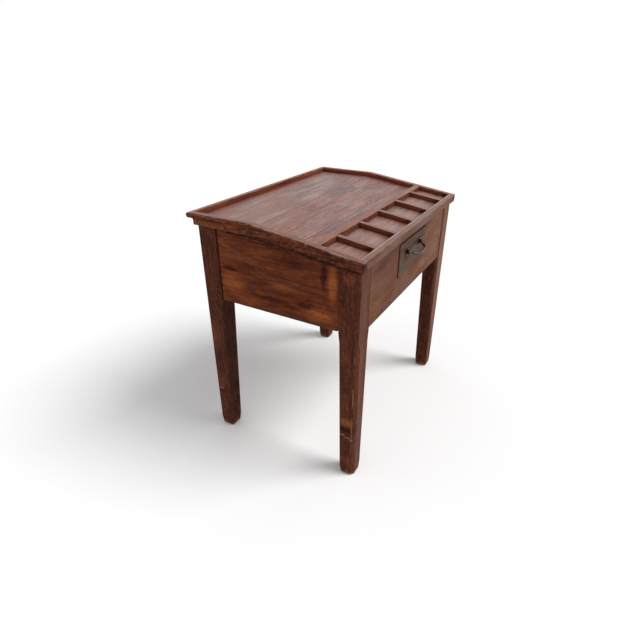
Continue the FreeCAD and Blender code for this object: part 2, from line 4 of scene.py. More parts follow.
import bpy
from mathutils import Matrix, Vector

# An old stained wooden workbench with a tray top and a small drawer, on a pale studio floor.
# Metres, in the frame of the CAD part: X along the front, Y to the back, Z up.

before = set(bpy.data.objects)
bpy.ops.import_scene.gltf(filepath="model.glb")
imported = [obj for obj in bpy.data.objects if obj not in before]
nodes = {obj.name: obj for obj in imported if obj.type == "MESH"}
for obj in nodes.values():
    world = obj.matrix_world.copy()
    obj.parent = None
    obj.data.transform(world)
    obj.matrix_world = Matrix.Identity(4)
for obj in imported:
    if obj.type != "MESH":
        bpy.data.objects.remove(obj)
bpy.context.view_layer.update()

# Camera, as the photograph was taken
CAMERA_PLACE = (-1.1029, -0.5672, 0.9369)
CAMERA_TURN = math.radians(60.288)
CAMERA_DROP = math.radians(28.705)
CAMERA_LENS = 26.193
SENSOR = 36.0

# Light
KEY_FROM = (0.25, -0.60, 0.75)
KEY_STRENGTH = 2.2
KEY_SOFTNESS = math.radians(32)
SKY_STRENGTH = 0.54
FLOOR_COLOUR = (0.985, 0.985, 0.985, 1)
FLOOR_REACH = 40.0


class Graph:
    """A material's node tree, with short calls for the nodes that the finishes use."""

    def __init__(self, name):
        self.material = bpy.data.materials.new(name)
        self.material.use_nodes = True
        self.tree = self.material.node_tree
        self.tree.nodes.clear()

    def node(self, kind, **settings):
        made = self.tree.nodes.new(kind)
        for key, value in settings.items():
            setattr(made, key, value)
        return made

    def feed(self, socket, value):
        """Link an output to a socket, or set the socket to a plain value."""
        if isinstance(value, bpy.types.NodeSocket):
            self.tree.links.new(value, socket)
        else:
            socket.default_value = value

    def math(self, operation, first, second=0.0, clamp=False):
        made = self.node("ShaderNodeMath", operation=operation, use_clamp=clamp)
        self.feed(made.inputs[0], first)
        self.feed(made.inputs[1], second)
        return made.outputs[0]

    def vector(self, operation, first, second=(0, 0, 0)):
        made = self.node("ShaderNodeVectorMath", operation=operation)
        self.feed(made.inputs[0], first)
        self.feed(made.inputs[1], second)
        single = operation in ("LENGTH", "DISTANCE", "DOT_PRODUCT")
        return made.outputs["Value" if single else "Vector"]

    def noise(self, place, along, across, detail=3.0, roughness=0.55, distortion=0.0, output="Fac"):
        """Noise with so many features per metre along the first axis and across it."""
        made = self.node("ShaderNodeTexNoise")
        self.feed(made.inputs["Vector"], self.vector("MULTIPLY", place, (along, across, across)))
        made.inputs["Scale"].default_value = 1.0
        made.inputs["Detail"].default_value = detail
        made.inputs["Roughness"].default_value = roughness
        made.inputs["Distortion"].default_value = distortion
        return made.outputs[output]

    def span(self, value, low, high, to_low=0.0, to_high=1.0):
        """Move a range of values to another range, smoothly and held at its ends."""
        made = self.node("ShaderNodeMapRange", interpolation_type="SMOOTHSTEP")
        self.feed(made.inputs["Value"], value)
        made.inputs["From Min"].default_value = low
        made.inputs["From Max"].default_value = high
        made.inputs["To Min"].default_value = to_low
        made.inputs["To Max"].default_value = to_high
        return made.outputs["Result"]

    def sum(self, *parts, start=0.0):
        """Add values, each with its weight."""
        total = start
        for value, weight in parts:
            made = self.node("ShaderNodeMath", operation="MULTIPLY_ADD")
            self.feed(made.inputs[0], value)
            self.feed(made.inputs[1], weight)
            self.feed(made.inputs[2], total)
            total = made.outputs[0]
        return total

    def mix(self, share, first, second, blend="MIX"):
        """Blend two colours."""
        made = self.node("ShaderNodeMix", data_type="RGBA", blend_type=blend)
        self.feed(made.inputs[0], share)
        for socket, value in ((made.inputs[6], first), (made.inputs[7], second)):
            self.feed(socket, value if isinstance(value, bpy.types.NodeSocket) else (*value, 1))
        return made.outputs[2]

    def ramp(self, value, stops):
        """Colours along a range of values."""
        made = self.node("ShaderNodeValToRGB")
        elements = made.color_ramp.elements
        while len(elements) < len(stops):
            elements.new(1.0)
        for element, (position, colour) in zip(elements, stops):
            element.position = position
            element.color = (*colour, 1)
        self.feed(made.inputs[0], value)
        return made.outputs[0]

    def bump(self, height, strength, distance):
        made = self.node("ShaderNodeBump")
        made.inputs["Strength"].default_value = strength
        made.inputs["Distance"].default_value = distance
        self.feed(made.inputs["Height"], height)
        return made.outputs[0]

    def surface(self, **sockets):
        """Finish the material with a principled shader."""
        shader = self.node("ShaderNodeBsdfPrincipled")
        for name, value in sockets.items():
            self.feed(shader.inputs[name.replace("_", " ")], value)
        output = self.node("ShaderNodeOutputMaterial")
        self.tree.links.new(shader.outputs[0], output.inputs["Surface"])
        return self.material


# Wood: its axes along and across the grain, how far the grain wanders, its year rings and their waver,
# its dark veins, its pores, how dark its dirt and the painted shade in its corners are, and how rough its
# surface and its wax are
GRAIN_ORDER = {"X": (0, 1, 2), "Y": (1, 0, 2), "Z": (2, 0, 1)}
WANDER_REACH = 0.012
RING_WIDTH = 0.0055
RING_WAVER = 0.03
VEINS = 0.4
PORE_DEPTH = 0.0008
DIRT_AND_SHADE_DARKNESS = 0.4
SMOOTHEST = 0.37
ROUGHEST = 0.57
WAX_ROUGHNESS = 0.35

# Marks: how ragged they are, and how far from the middle they begin to fade and end
RAGGED = 1.8
FADE_BEGIN = 1.3
FADE_END = 2.15

# Tints that the hue of a wood wanders to, the colours of stains and wear, and the colours of painted shade,
# painted light and painted sheen
WARM = (1.25, 0.95, 0.6)
COOL = (0.72, 0.88, 0.98)
PALE = (0.42, 0.3, 0.2)
RED = (0.2, 0.035, 0.016)
BLACK = (0.012, 0.006, 0.004)
DUST_AND_SHEEN = (0.34, 0.2, 0.165)
BARED = (0.3, 0.13, 0.05)
GREY_BROWN = (0.21, 0.098, 0.055)
CHIP = (0.7, 0.55, 0.45)
SPLINTER = (0.5, 0.25, 0.11)
AMBER = (0.2, 0.068, 0.02)
OLIVE = (0.085, 0.05, 0.026)
RUSSET = (0.24, 0.075, 0.045)
SHEEN_TINT = (0.5, 0.35, 0.32)

# Iron
IRON_PIT = (0.02, 0.015, 0.012)
IRON_FACE = (0.12, 0.087, 0.063)
IRON_RUST = (0.09, 0.05, 0.03)
IRON_DIRT = (0.012, 0.01, 0.008)

# How a board looks where its finish says nothing else
BOARD = {
    # the weights of its figure, how far the figure is drawn out along the grain, how far its hue wanders
    "contrast": 1.0, "streaky": 0.5, "mottle": 0.0, "grit": 0.2, "fine": 1.0, "length": 1.0, "hue": 0.5,
    # rubbed upper edges, painted shade along lower edges, dust and painted sheen on tops, dirt and painted
    # shade in corners, and how far these reach
    "wear": 0.0, "grime": 0.0, "edge_reach": 0.003, "dusty": 0.0, "dirt": 0.8, "dirt_reach": 0.02,
    # the shine of upright faces and of faces that look up, and the wax on those
    "gloss": 0.02, "top_gloss": 0.1, "coat": 0.0,
    # ovals that are lighter or darker, some of them painted light and shade, ovals that are stained or carry
    # painted shade, light and sheen, and ovals whose edges are bare
    "shades": (), "stains": (), "rubs": (),
}


def board_shift(seed):
    """Where in the wood a board was cut, so that no two boards are alike."""
    return 1.7*seed, 0.31*math.sin(5.1*seed), 0.27*math.cos(3.3*seed)


def grain_place(graph, place, grain, seed):
    """Coordinates with the first one along the grain, counted from where the board was cut."""
    split = graph.node("ShaderNodeSeparateXYZ")
    graph.feed(split.inputs[0], place)
    join = graph.node("ShaderNodeCombineXYZ")
    for target, source in enumerate(GRAIN_ORDER[grain]):
        graph.feed(join.inputs[target], split.outputs[source])
    return graph.vector("ADD", join.outputs[0], board_shift(seed))


def bent_place(graph, along):
    """Grain coordinates that wander slowly to and fro across the grain."""
    drift = graph.noise(along, 3.2, 9, detail=2, output="Color")
    sway = graph.vector("SUBTRACT", drift, (0.5, 0.5, 0.5))
    reach = (0, 2*WANDER_REACH, 2*WANDER_REACH)
    return graph.vector("ADD", along, graph.vector("MULTIPLY", sway, reach))


def growth_rings(graph, bent, seed):
    """Year rings about a pith that lies outside the board: 0 in the soft wood, 1 in the hard line."""
    _, aside, above = board_shift(seed)
    offset = graph.vector("SUBTRACT", bent, (0, aside + 0.09, above - 0.14))
    radius = graph.vector("LENGTH", graph.vector("MULTIPLY", offset, (0, 1, 1)))
    waver = graph.noise(bent, 2.3, 12, detail=3)
    years = graph.math("DIVIDE", graph.sum((radius, 1), (waver, RING_WAVER)), RING_WIDTH)
    return graph.span(graph.math("FRACT", years), 0.25, 0.95)


def edge_masks(graph, reach):
    """1 along edges of a piece, 0 on its flat faces: all edges but the lower, the upper, the lower."""
    bevel = graph.node("ShaderNodeBevel", samples=6)
    bevel.inputs["Radius"].default_value = reach
    face = graph.node("ShaderNodeNewGeometry").outputs["Normal"]
    edge = graph.span(graph.vector("DOT_PRODUCT", bevel.outputs[0], face), 0.995, 0.86)
    rise = graph.vector("DOT_PRODUCT", bevel.outputs[0], (0, 0, 1))
    sides = [graph.span(rise, -0.3, -0.05), graph.span(rise, 0.0, 0.3), graph.span(rise, -0.05, -0.3)]
    return [graph.math("MULTIPLY", edge, side) for side in sides]


def crevice_mask(graph, reach):
    """1 deep in the corners between pieces, 0 on open faces."""
    near = graph.node("ShaderNodeAmbientOcclusion", samples=8)
    near.inputs["Distance"].default_value = reach
    return graph.span(near.outputs["AO"], 0.4, 0.95, 1.0, 0.0)


def top_mask(graph):
    """1 on faces that look up, 0 on upright ones."""
    split = graph.node("ShaderNodeSeparateXYZ")
    graph.feed(split.inputs[0], graph.node("ShaderNodeNewGeometry").outputs["Normal"])
    return graph.span(split.outputs["Z"], 0.5, 0.9)


def patch(graph, place, ragged, centre, half, strength):
    """The strength inside a ragged oval patch about a point of the bench, 0 outside."""
    away = graph.vector("DIVIDE", graph.vector("SUBTRACT", place, centre), half)
    far = graph.sum((graph.vector("LENGTH", away), 1), (ragged, RAGGED))
    return graph.span(far, FADE_BEGIN, FADE_END, strength, 0.0)


def figure(graph, place, grain, seed, length):
    """The layers of a wood's figure and surface, with their features per metre along and across the grain."""
    along = graph.vector("MULTIPLY", grain_place(graph, place, grain, seed), (1/length, 1, 1))
    bent = bent_place(graph, along)
    return SimpleNamespace(
        broad=graph.noise(along, 1.8, 4, detail=2),
        cloud=graph.noise(bent, 8, 17, detail=6, roughness=0.68),
        streak=graph.noise(bent, 7, 80, detail=4, roughness=0.62, distortion=0.15),
        line=graph.noise(bent, 12, 180, detail=3, roughness=0.68),
        fibre=graph.noise(along, 20, 620, detail=2),
        speck=graph.noise(bent, 100, 230, detail=2, roughness=0.6),
        rings=growth_rings(graph, bent, seed),
        contour=graph.noise(bent, 6, 75, detail=2),
        drift=graph.noise(bent, 14, 45, detail=4, roughness=0.65),
        ragged=graph.noise(bent, 28, 90, detail=4, roughness=0.65),
        rub=graph.noise(along, 30, 70, detail=4),
        patchy=graph.noise(along, 9, 26, detail=4),
    )


def marked_colour(graph, place, layer, look):
    """The colour of a board with its figure, shades, veins and stains, among which light and shade are
    painted.
    """
    weights = [(layer.streak, look.streaky*look.contrast), (layer.cloud, 0.5*look.contrast),
               (layer.broad, 0.3*look.contrast), (layer.ragged, look.mottle), (layer.speck, look.grit),
               (layer.line, 0.35*look.fine), (layer.fibre, 0.1)]
    # Each layer lies about a half, so a half also fills what the weights lack of 1
    rest = 1 - sum(weight for _, weight in weights)
    tone = graph.sum(*weights, (layer.rings, -0.035), start=0.5*rest)
    for centre, half, change in look.shades:
        tone = graph.math("ADD", tone, patch(graph, place, layer.ragged, centre, half, change))
    darkest = look.tones[0][1]
    colour = graph.ramp(tone, look.tones)
    colour = graph.mix(graph.span(layer.drift, 0.5, 0.68, 0.0, look.hue), colour, WARM, "MULTIPLY")
    colour = graph.mix(graph.span(layer.drift, 0.5, 0.32, 0.0, look.hue), colour, COOL, "MULTIPLY")
    colour = graph.mix(graph.span(layer.fibre, 0.56, 0.74, 0.0, 0.5), colour, darkest)
    beside = graph.math("ABSOLUTE", graph.math("SUBTRACT", layer.contour, 0.5))
    vein = graph.span(beside, 0.005, 0.04, VEINS, 0.0)
    vein = graph.math("MULTIPLY", vein, graph.span(layer.cloud, 0.42, 0.6))
    colour = graph.mix(vein, colour, darkest)
    uptake = graph.span(layer.line, 0.38, 0.62, 0.5, 1.0)
    # Stains, and ovals of painted shade, painted light and painted sheen
    for centre, half, tint, strength in look.stains:
        soaked = graph.math("MULTIPLY", uptake, patch(graph, place, layer.ragged, centre, half, strength))
        colour = graph.mix(soaked, colour, tint)
    return colour


def aged_and_shaded(graph, place, layer, look, upward, colour):
    """A board's colour with its rubbed edges, painted shade along its lower edges, dust and painted sheen on
    its tops, and dirt and painted shade in its corners.
    """
    edges, upper_edges, lower_edges = edge_masks(graph, look.edge_reach)
    bare = graph.math("MULTIPLY", upper_edges, graph.span(layer.rub, 0.4, 0.62, 0.0, look.wear))
    for centre, half, strength in look.rubs:
        inside = patch(graph, place, layer.ragged, centre, half, strength)
        dashes = graph.math("MULTIPLY", graph.span(edges, 0.05, 0.4), graph.span(layer.rub, 0.42, 0.55))
        bare = graph.math("MAXIMUM", bare, graph.math("MULTIPLY", inside, dashes))
    colour = graph.mix(bare, colour, look.worn)
    # Painted shade along the lower edges, where shadow falls under a piece
    black = graph.span(layer.rub, 0.3, 0.55, 0.5*look.grime, look.grime)
    colour = graph.mix(graph.math("MULTIPLY", lower_edges, black), colour, BLACK)
    # Dust, and painted sheen, lighten the faces that look up
    dust_and_sheen_share = graph.span(layer.patchy, 0.35, 0.65, 0.5*look.dusty, look.dusty)
    colour = graph.mix(graph.math("MULTIPLY", upward, dust_and_sheen_share), colour, DUST_AND_SHEEN)
    # Dirt, and painted shade, darken the corners between pieces
    dirt_and_shade_share = graph.span(layer.cloud, 0.3, 0.6, 0.7*look.dirt, look.dirt)
    dirt_and_shade_share = graph.math("MULTIPLY", crevice_mask(graph, look.dirt_reach), dirt_and_shade_share)
    return graph.mix(dirt_and_shade_share, colour, [DIRT_AND_SHADE_DARKNESS*part for part in look.tones[0][1]])


def wood(name, grain, seed, look):
    """Stained, waxed wood with its figure, its marks of age, and painted light and shade."""
    graph = Graph(name)
    place = graph.node("ShaderNodeTexCoord").outputs["Object"]
    layer = figure(graph, place, grain, seed, look.length)
    upward = top_mask(graph)
    colour = aged_and_shaded(graph, place, layer, look, upward, marked_colour(graph, place, layer, look))
    roughness = graph.span(layer.patchy, 0.3, 0.7, SMOOTHEST, ROUGHEST)
    shine = graph.sum((upward, look.top_gloss - look.gloss), start=look.gloss)
    shine = graph.math("MULTIPLY", shine, graph.span(layer.patchy, 0.3, 0.7, 1.12, 0.86))
    height = graph.sum((layer.fibre, 0.5), (layer.rings, 0.15), (layer.line, 0.5), (layer.streak, 0.4))
    wax = graph.math("MULTIPLY", upward, look.coat) if look.coat else 0.0
    return graph.surface(Base_Color=colour, Roughness=roughness, Normal=graph.bump(height, 0.3, PORE_DEPTH),
                         Specular_IOR_Level=shine, Coat_Weight=wax, Coat_Roughness=WAX_ROUGHNESS)


def iron():
    """Dark old iron, pitted and a little rusty."""
    graph = Graph("old_iron")
    place = graph.node("ShaderNodeTexCoord").outputs["Object"]
    pits = graph.noise(place, 420, 420, detail=4)
    rust = graph.noise(place, 90, 90, detail=3)
    colour = graph.mix(graph.span(pits, 0.35, 0.7), IRON_PIT, IRON_FACE)
    colour = graph.mix(graph.span(rust, 0.55, 0.75, 0.0, 0.5), colour, IRON_RUST)
    colour = graph.mix(graph.math("MULTIPLY", crevice_mask(graph, 0.006), 0.8), colour, IRON_DIRT)
    return graph.surface(Base_Color=colour, Metallic=0.8, Normal=graph.bump(pits, 0.3, 0.0003),
                         Roughness=graph.span(rust, 0.3, 0.7, 0.28, 0.45))


def palette(dark, low, middle, light):
    """The colours of a wood from its dark lines to its lightest patches."""
    return [(0.22, dark), (0.42, low), (0.58, middle), (0.8, light)]


# Finishes, in linear colours
LEG = {
    "tones": palette((0.022, 0.007, 0.0045), (0.065, 0.019, 0.011),
                     (0.115, 0.035, 0.018), (0.22, 0.07, 0.024)),
    "worn": (0.42, 0.23, 0.1), "edge_reach": 0.0045, "contrast": 0.6, "streaky": 0.25, "mottle": 0.3,
    "grit": 0.5, "hue": 0.3, "gloss": 0.026, "dirt": 0.4, "dirt_reach": 0.012,
}
APRON = {
    "tones": palette((0.036, 0.01, 0.006), (0.09, 0.0235, 0.012),
                     (0.163, 0.045, 0.0185), (0.3, 0.088, 0.024)),
    "worn": (0.3, 0.12, 0.05), "streaky": 0.25, "gloss": 0.012, "dirt_reach": 0.03,
}
FRONT = {
    "tones": palette((0.04, 0.012, 0.006), (0.09, 0.028, 0.011),
                     (0.135, 0.046, 0.017), (0.2, 0.075, 0.024)),
    "worn": (0.5, 0.34, 0.26),
}
TRAY = {
    "tones": palette((0.03, 0.008, 0.006), (0.11, 0.028, 0.017),
                     (0.2, 0.06, 0.037), (0.32, 0.125, 0.08)),
    "worn": (0.32, 0.18, 0.12), "contrast": 0.55, "streaky": 0.25, "mottle": 0.25, "grit": 0.7, "fine": 2.6,
    "length": 1.4, "hue": 0.6, "dirt": 0.9, "dirt_reach": 0.015, "top_gloss": 0.85, "coat": 0.2,
}
RIM = {
    "tones": palette((0.03, 0.008, 0.005), (0.09, 0.024, 0.013),
                     (0.155, 0.044, 0.022), (0.26, 0.085, 0.034)),
    "worn": (0.44, 0.26, 0.19), "dirt_reach": 0.01,
}
RAIL = {**RIM, "wear": 0.9, "grime": 1.0, "edge_reach": 0.008, "grit": 0.7, "fine": 2.4, "dusty": 0.3,
        "gloss": 0.025, "top_gloss": 0.3}
STRIP = {**RIM, "wear": 0.7, "edge_reach": 0.005, "fine": 2.2, "dusty": 0.35, "dirt": 0.15,
         "gloss": 0.05, "top_gloss": 0.35}
WALL = {**RIM, "wear": 0.6, "edge_reach": 0.004, "fine": 2.2, "dusty": 0.3, "dirt": 0.3,
        "gloss": 0.05, "top_gloss": 0.4}
FACE = {
    "tones": palette((0.028, 0.012, 0.007), (0.058, 0.027, 0.015),
                     (0.084, 0.04, 0.023), (0.125, 0.062, 0.034)),
    "worn": (0.2, 0.12, 0.07), "contrast": 0.8, "fine": 2.2, "gloss": 0.04,
}
BARE = {
    "tones": palette((0.12, 0.06, 0.03), (0.24, 0.13, 0.065),
                     (0.36, 0.21, 0.11), (0.48, 0.3, 0.17)),
    "worn": (0.5, 0.33, 0.19), "gloss": 0.1,
}


def box(name):
    """The low and the high corner of a CAD node, in its own coordinates."""
    return [Vector(map(limit, zip(*nodes[name].bound_box))) for limit in (min, max)]


# Pieces that come in sets, and faces that carry marks
SIDES = ("left", "right")
LEGS = [f"leg_{end}_{side}" for end in ("front", "rear") for side in SIDES]
DIVIDERS = [f"divider_{number}" for number in range(1, 6)]
TRAY_BOARDS = ["tray_board_lower", "tray_board_upper", "tray_board_level", "rear_cornice"]
METAL = ["handle_post_left", "handle_post_right", "handle_nuts", "handle_bail"]
LEG_SIDE, LEG_FRONT, _ = box("leg_front_left")[0]
APRON_SIDE = box("side_apron_left")[0].x
APRON_FRONT = box("front_apron")[0].y
DRAWER_FRONT = box("drawer_front")[0].y
RAIL_SIDE, RAIL_END, _ = box("side_rail_left")[0]
LEFT_WALLS = [box(name)[1].x for name in ("side_rail_left", *DIVIDERS)]
RIGHT_WALLS = [box(name)[0].x for name in (*DIVIDERS, "side_rail_right")]
BAR_FRONT, BAR_TOP = box("compartment_bar")[0].y, box("compartment_bar")[1].z
_, WALL_FRONT, WALL_FOOT = box("divider_1")[0]
TRAY_BEND = box("tray_board_level")[0].y
TRAY_LEVEL = box("tray_board_level")[1].z
TRAY_SLOPE = (TRAY_LEVEL - WALL_FOOT)/(TRAY_BEND - WALL_FRONT)


def ovals(axis, level, depth, rows):
    """Marks on a face across an axis. A row gives a place on the face, half sizes and the effect."""
    made = []
    for first, second, half_first, half_second, *effect in rows:
        centre, half = [first, second], [half_first, half_second]
        centre.insert("XYZ".index(axis), level)
        half.insert("XYZ".index(axis), depth)
        made.append((centre, half, *effect))
    return made


def tray_ovals(depth, rows):
    """Marks on the floor of the tray, which slopes down in front of its bend."""
    made = []
    for row in rows:
        level = TRAY_LEVEL - TRAY_SLOPE*max(0, TRAY_BEND - row[1])
        made += ovals("Z", level, depth, [row])
    return made


# Marks of age, and painted light and shade
EVERYWHERE = ((0, 0, 0.6), (2, 2, 2))
# Painted light: a lighter tone over the whole of the right rail, the rear rim, the bar and the dividers
LIGHTER = [(*EVERYWHERE, 0.12)]
# Painted light: a russet tint over the whole of each divider, for its lit faces
RUDDY = [(*EVERYWHERE, RUSSET, 0.6)]
SIDE_SHADES = ovals("X", APRON_SIDE, 0.03, [
    (-0.122, 0.543, 0.007, 0.034, -0.2),
    (-0.144, 0.527, 0.013, 0.050, 0.3),
    (-0.108, 0.444, 0.045, 0.018, 0.22),
    (-0.074, 0.461, 0.022, 0.012, -0.16),
    (0.130, 0.474, 0.042, 0.034, 0.2),
    (0.137, 0.509, 0.022, 0.006, -0.25),
    (0.169, 0.440, 0.012, 0.030, 0.15),
    (-0.016, 0.494, 0.040, 0.012, 0.1),
    (-0.037, 0.552, 0.050, 0.016, -0.1),
    (0.008, 0.455, 0.050, 0.009, -0.16),
    (0.083, 0.437, 0.050, 0.012, 0.12),
])
SIDE_STAINS = ovals("X", APRON_SIDE, 0.03, [
    (-0.074, 0.444, 0.004, 0.003, BLACK, 0.7),
    (0.046, 0.471, 0.004, 0.003, BLACK, 0.6),
])
LEG_SHADES = {
    "leg_front_left": ovals("X", LEG_SIDE, 0.02, [
        (-0.188, 0.171, 0.020, 0.014, 0.3),
        (-0.186, 0.146, 0.030, 0.008, -0.2),
        (-0.186, 0.550, 0.014, 0.014, 0.2),
        (-0.189, 0.047, 0.020, 0.016, 0.15),
    ]),
    "leg_rear_left": ovals("X", LEG_SIDE, 0.02, [
        (0.209, 0.303, 0.015, 0.060, 0.12),
        (0.204, 0.157, 0.015, 0.030, 0.12),
    # Painted shade, added after the list: the inner front face of the rear left leg is darker under the bench
    ]) + [((-0.285, 0.17, 0.25), (0.04, 0.012, 0.4), -0.14)],
    # Painted shade: the inner face of the front right leg is darker
    "leg_front_right": [((0.262, -0.18, 0.25), (0.012, 0.05, 0.4), -0.1)],
}
# A zigzag row of chips across the front left leg, from its rear corner forwards
CHIPS = 6
CHIP_START = (-0.167, 0.134)
CHIP_STEP = (-0.007, -0.0025)
CHIP_ZIGZAG = 0.003
LEG_CHIPS = [(CHIP_START[0] + CHIP_STEP[0]*step, CHIP_START[1] + CHIP_STEP[1]*step - CHIP_ZIGZAG*(step % 2),
              0.0036, 0.0017, SPLINTER, 0.85) for step in range(CHIPS)]
LEG_STAINS_AND_PAINTED_LIGHT = {
    "leg_front_left": ovals("Y", LEG_FRONT, 0.008, [(-0.285, 0.2, 0.06, 0.4, GREY_BROWN, 0.18)])
    + ovals("X", LEG_SIDE, 0.02, [(-0.162, 0.518, 0.002, 0.002, BLACK, 1.0), *LEG_CHIPS]),
    "leg_rear_left": ovals("X", LEG_SIDE, 0.02, [
        (0.207, 0.131, 0.007, 0.0018, SPLINTER, 0.6),
        (0.173, 0.387, 0.002, 0.002, BLACK, 1.0),
    ]),
    # Painted light: the front face of the front right leg is lighter, where more light falls
    "leg_front_right": ovals("Y", LEG_FRONT, 0.012, [(0.29, 0.45, 0.06, 0.35, GREY_BROWN, 0.8)]),
}
LEG_RUBS = {"leg_front_left": [((-0.312, -0.203, 0.21), (0.006, 0.005, 0.18), 1.0)]}
# Little dirt and painted shade in the corners of the front right leg
LEG_DIRT_AND_SHADE = {"leg_front_right": 0.05}
FOOT_INSET = 0.02
FOOT_WEAR = (0.05, 0.05, 0.013)
TRAY_SHADES = tray_ovals(0.04, [
    (-0.199, 0.112, 0.050, 0.020, 0.12),
    (0.118, 0.040, 0.050, 0.020, -0.14),
    (0.050, 0.040, 0.040, 0.015, -0.14),
    (0.099, 0.153, 0.100, 0.008, -0.15),
    (0.025, -0.043, 0.045, 0.014, 0.12),
    (0.273, -0.047, 0.030, 0.015, 0.16),
    (-0.234, -0.071, 0.050, 0.020, 0.08),
])
TRAY_STAINS_AND_PAINTED_LIGHT = tray_ovals(0.02, [
    (-0.139, 0.178, 0.012, 0.006, PALE, 0.45),
    (-0.140, 0.139, 0.016, 0.006, PALE, 0.4),
    (-0.188, 0.148, 0.010, 0.005, PALE, 0.4),
    (-0.113, 0.093, 0.025, 0.012, RED, 0.4),
    (-0.201, -0.007, 0.010, 0.012, BLACK, 0.5),
    (-0.027, 0.109, 0.006, 0.004, BLACK, 0.6),
]) + tray_ovals(0.03, [
    # Painted shade: the first two are darker red bands along the rear rim and along the right rail
    (0.0, 0.210, 0.330, 0.015, RED, 0.45),
    (0.302, 0.060, 0.014, 0.250, RED, 0.6),
    (-0.210, 0.100, 0.130, 0.120, AMBER, 0.4),
])
# Dust and painted sheen on the floor of each compartment, lighter in its middle, dirt in the seam behind
# them, and the end of the cornice
DUST_AND_SHEEN_LEVEL = WALL_FOOT + 0.0108
TRAY_STAINS_AND_PAINTED_LIGHT += ovals("Z", DUST_AND_SHEEN_LEVEL, 0.03, [((left + right)/2, -0.157, 0.055, 0.046, DUST_AND_SHEEN, 0.6)
                                             for left, right in zip(LEFT_WALLS, RIGHT_WALLS)])
TRAY_STAINS_AND_PAINTED_LIGHT += ovals("Z", 0.610, 0.02, [(0.0, -0.062, 0.4, 0.0014, BLACK, 0.7)])
TRAY_STAINS_AND_PAINTED_LIGHT += ovals("X", RAIL_SIDE, 0.03, [(0.2, 0.6, 0.08, 0.03, AMBER, 0.75)])
# Painted shadow in the corners of the compartments, at the left of the bar and at the front of each wall on
# the right
BAR_CORNER_SHADOWS = ovals("Y", BAR_FRONT, 0.01, [(left + 0.006, BAR_TOP - 0.009, 0.016, 0.014, BLACK, 0.9)
                                          for left in LEFT_WALLS])
WALL_CORNER_SHADOWS = ovals("Y", WALL_FRONT + 0.008, 0.016, [(right, WALL_FOOT + 0.004, 0.008, 0.008, BLACK, 0.85)
                                                     for right in RIGHT_WALLS])
# The first oval is painted light: the right end of the front is lighter
FRONT_SHADES = [((0.2, -0.212, 0.5), (0.12, 0.03, 0.12), 0.12)] + ovals("Y", APRON_FRONT, 0.03, [
    (0.081, 0.448, 0.060, 0.016, 0.12),
    (-0.183, 0.551, 0.050, 0.020, -0.12),
    (-0.224, 0.448, 0.030, 0.030, 0.12),
    (-0.253, 0.500, 0.006, 0.080, 0.2),
])
# Painted highlight along the inner top edge of the front rail
FRONT_SHEEN = [((0.0, -0.206, 0.597), (1.0, 0.005, 0.02), SHEEN_TINT, 0.75)]
FACE_STAINS = ovals("Y", DRAWER_FRONT, 0.02, [
    (-0.075, 0.514, 0.020, 0.020, OLIVE, 0.5),
    (-0.023, 0.474, 0.030, 0.010, OLIVE, 0.5),
    (0.008, 0.551, 0.030, 0.012, OLIVE, 0.5),
    (0.012, 0.486, 0.020, 0.008, RED, 0.25),
    (0.088, 0.515, 0.010, 0.020, RED, 0.25),
    (-0.086, 0.486, 0.0025, 0.0025, BLACK, 1.0),
    (0.086, 0.558, 0.0025, 0.0025, BLACK, 1.0),
    (-0.047, 0.516, 0.0025, 0.007, BLACK, 0.8),
])
RAIL_STAINS = [
    ((-0.315, RAIL_END, 0.584), (0.013, 0.005, 0.018), BLACK, 0.9),
    ((0.315, RAIL_END, 0.584), (0.014, 0.006, 0.02), BLACK, 0.8),
    ((-0.309, -0.110, 0.613), (0.005, 0.011, 0.006), BLACK, 0.9),
    ((-0.319, -0.088, 0.612), (0.004, 0.004, 0.0025), CHIP, 0.8),
]
# The painted shadow under the left rail, in short lengths that rise from the front to the bend
SHADOW_LENGTHS = 14
SHADOW_START = (-0.2, 0.5745)
SHADOW_STEP = (0.024, 0.003)
SHADOW_TOP = 0.605
RAIL_SHADOW_LINE = ovals("X", RAIL_SIDE, 0.006, [
    (SHADOW_START[0] + SHADOW_STEP[0]*step, min(SHADOW_TOP, SHADOW_START[1] + SHADOW_STEP[1]*step),
     0.018, 0.0036, BLACK, 1.0) for step in range(SHADOW_LENGTHS)
])
RAIL_RUBS = ovals("X", RAIL_SIDE, 0.006, [(-0.1875, 0.575, 0.03, 0.006, 0.9)])
# Painted light: a russet tint that makes the inner face of the right rail lighter
RAIL_INSIDE = ovals("X", RIGHT_WALLS[-1], 0.003, [(0.0, 0.615, 0.5, 0.05, RUSSET, 0.9)])


def paint(name, material):
    """Give a CAD node its finish."""
    mesh = nodes[name].data
    mesh.materials.clear()
    mesh.materials.append(material)


def dress(names, grain, finish, **changes):
    """Give each named board a wood of its own from one finish."""
    look = SimpleNamespace(**{**BOARD, **finish, **changes})
    for name in names:
        seed = 1 + sorted(nodes).index(name)
        paint(name, wood(f"wood_{name}", grain, seed, look))


def dress_leg(name):
    """Give a leg its wood, with its own marks and a worn foot."""
    low, high = box(name)
    foot = (low.x + FOOT_INSET if "left" in name else high.x - FOOT_INSET,
            low.y + FOOT_INSET if "front" in name else high.y - FOOT_INSET, 0)
    dress([name], "Z", LEG, dirt=LEG_DIRT_AND_SHADE.get(name, LEG["dirt"]), shades=LEG_SHADES.get(name, ()),
          stains=[*LEG_STAINS_AND_PAINTED_LIGHT.get(name, ()), (foot, FOOT_WEAR, BARED, 0.75)], rubs=LEG_RUBS.get(name, ()))


